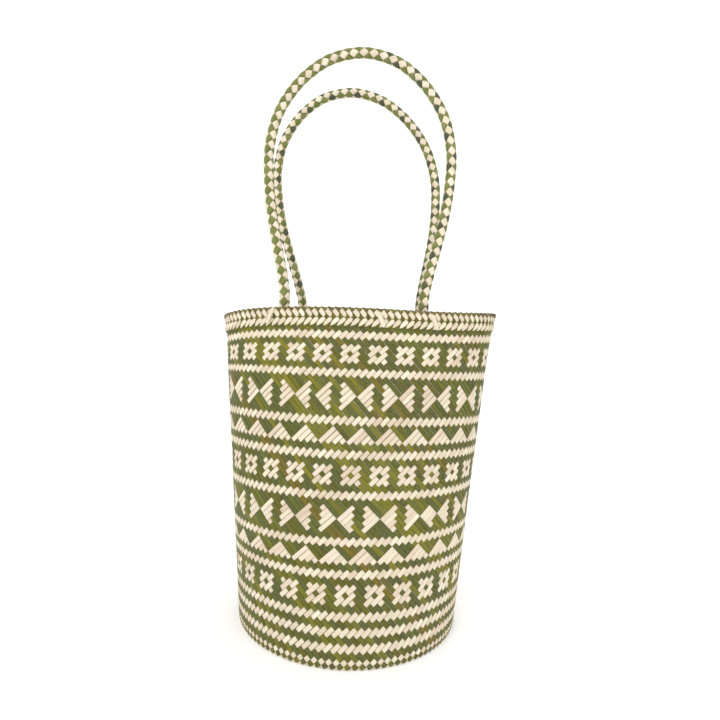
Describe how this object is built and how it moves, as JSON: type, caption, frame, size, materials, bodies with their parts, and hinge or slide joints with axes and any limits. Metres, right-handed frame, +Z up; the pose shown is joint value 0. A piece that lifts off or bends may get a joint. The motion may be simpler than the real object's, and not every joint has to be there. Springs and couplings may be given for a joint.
{
  "type": "woven tote bag",
  "caption": "Open bucket-shaped tote woven on the bias from two colours of palm-leaf strip, with an oval mouth, a plaited rim and braided loop handles.",
  "frame": {"origin": "on the floor under the middle of the base, at the bottom centre of the whole object's box", "axes": "+Z up through the mouth; X along the mouth's long axis; -Y is the front, and +Y the back"},
  "size_m": [0.2954, 0.2382, 0.5885],
  "materials": {
    "weave": "woven dried palm leaf, cream and green strips, satin",
    "cream_strip": "bleached palm leaf strip, fine lengthwise grain, satin",
    "green_strip": "dyed olive green palm leaf strip, fine lengthwise grain, satin",
    "handle_braid": "round braid of cream and green palm leaf strips",
    "handle_fibre": "loose plant fibre bundle, matte"
  },
  "bodies": {
    "bag": {"woven_wall": "weave", "woven_base": "weave", "rim_row_upper": "cream_strip", "rim_row_lower": "cream_strip", "rim_edge_binding": "green_strip", "rim_inner_hem": "weave", "handle_front_tail_left": "handle_braid", "handle_front_tail_right": "handle_braid", "handle_back_tail_left": "handle_braid", "handle_back_tail_right": "handle_braid", "tail_lashing_front_left": "green_strip", "tail_lashing_front_right": "green_strip", "tail_lashing_back_left": "green_strip", "tail_lashing_back_right": "green_strip", "rim_cross_strip_front_left": "cream_strip", "rim_cross_strip_front_middle": "cream_strip", "rim_cross_strip_front_right": "cream_strip", "rim_cross_strip_back_left": "cream_strip", "rim_cross_strip_back_right": "cream_strip"},
    "handle_front": {"handle_front_braid": "handle_braid", "handle_front_core": "handle_fibre"},
    "handle_back": {"handle_back_braid": "handle_braid", "handle_back_core": "handle_fibre"}
  },
  "joints": [
    {"name": "handle_front_fold", "type": "hinge", "parent": "bag", "child": "handle_front", "pos_m": [0, -0.04927, 0.336], "axis": [1, 0, 0], "range_deg": [-8, 110]},
    {"name": "handle_back_fold", "type": "hinge", "parent": "bag", "child": "handle_back", "pos_m": [0, 0.04927, 0.336], "axis": [-1, 0, 0], "range_deg": [-8, 110]}
  ]
}
